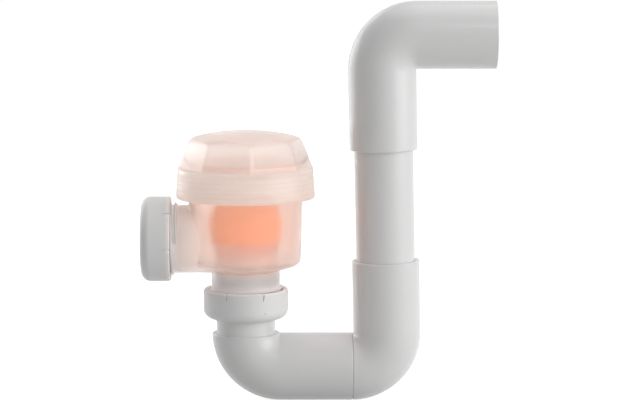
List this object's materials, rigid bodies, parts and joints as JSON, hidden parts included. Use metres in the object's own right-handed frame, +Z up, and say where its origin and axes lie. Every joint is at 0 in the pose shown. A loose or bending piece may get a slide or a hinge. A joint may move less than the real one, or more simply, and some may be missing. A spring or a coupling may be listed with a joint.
{
  "type": "condensate trap",
  "caption": "Ball-type condensate trap: clear chamber with a screwed cap and a floating ball, side inlet with union nut, bottom union and bent outlet pipework.",
  "frame": {"origin": "on the inlet axis, in the plane where the inlet pipe's end stops", "axes": "+X along the inlet axis from the inlet towards the outlet, +Z up along the chamber, +Y to the back"},
  "size_m": [0.2404, 0.0944, 0.2725],
  "materials": {
    "clear_plastic": "frosted translucent",
    "ball_plastic": "satin",
    "cap_rubber": "matte",
    "nut_plastic": "satin moulded",
    "ring_plastic": "matte",
    "seal_rubber": "matte",
    "pipe_plastic": "satin moulded"
  },
  "bodies": {
    "trap": {"trap_body": "clear_plastic", "inlet_seal": "seal_rubber", "outlet_seal": "seal_rubber"},
    "ball": {"float_ball": "ball_plastic"},
    "cap_ring": {"cap_gasket": "cap_rubber"},
    "cap": {"screw_cap": "clear_plastic"},
    "inlet_ring": {"inlet_slip_ring": "ring_plastic"},
    "inlet_union": {"inlet_nut": "nut_plastic"},
    "outlet_ring": {"outlet_slip_ring": "ring_plastic"},
    "outlet_union": {"outlet_nut": "nut_plastic"},
    "pipework": {"spigot_bend": "pipe_plastic", "riser_foot_bend": "pipe_plastic", "riser_pipe": "pipe_plastic", "outlet_bend": "pipe_plastic"}
  },
  "joints": [
    {"name": "ball_float", "type": "slide", "parent": "trap", "child": "ball", "axis": [0, 0, 1], "range_m": [0, 0.035]},
    {"name": "cap_lift", "type": "slide", "parent": "trap", "child": "cap_ring", "axis": [0, 0, 1], "range_m": [0, 0.016]},
    {"name": "cap_turn", "type": "hinge", "parent": "cap_ring", "child": "cap", "pos_m": [0.03881, 0, 0.05], "axis": [0, 0, 1], "range_deg": [0, 1800]},
    {"name": "inlet_nut_travel", "type": "slide", "parent": "trap", "child": "inlet_ring", "axis": [-1, 0, 0], "range_m": [0, 0.011]},
    {"name": "inlet_nut_turn", "type": "hinge", "parent": "inlet_ring", "child": "inlet_union", "pos_m": [-0.024, 0, 0], "axis": [-1, 0, 0], "range_deg": [0, 1080]},
    {"name": "outlet_nut_travel", "type": "slide", "parent": "trap", "child": "outlet_ring", "axis": [0, 0, -1], "range_m": [0, 0.0101]},
    {"name": "outlet_nut_turn", "type": "hinge", "parent": "outlet_ring", "child": "outlet_union", "pos_m": [0.03881, 0, -0.0462], "axis": [0, 0, -1], "range_deg": [0, 1000]},
    {"name": "outlet_swivel", "type": "hinge", "parent": "trap", "child": "pipework", "pos_m": [0.03881, 0, -0.0462], "axis": [0, 0, 1], "range_deg": [-135, 135]}
  ],
  "couplings": [
    {"joint": "cap_lift", "follows": "cap_turn", "m_per_rad": 0.000509},
    {"joint": "inlet_nut_travel", "follows": "inlet_nut_turn", "m_per_rad": 0.000573},
    {"joint": "outlet_nut_travel", "follows": "outlet_nut_turn", "m_per_rad": 0.000573}
  ]
}
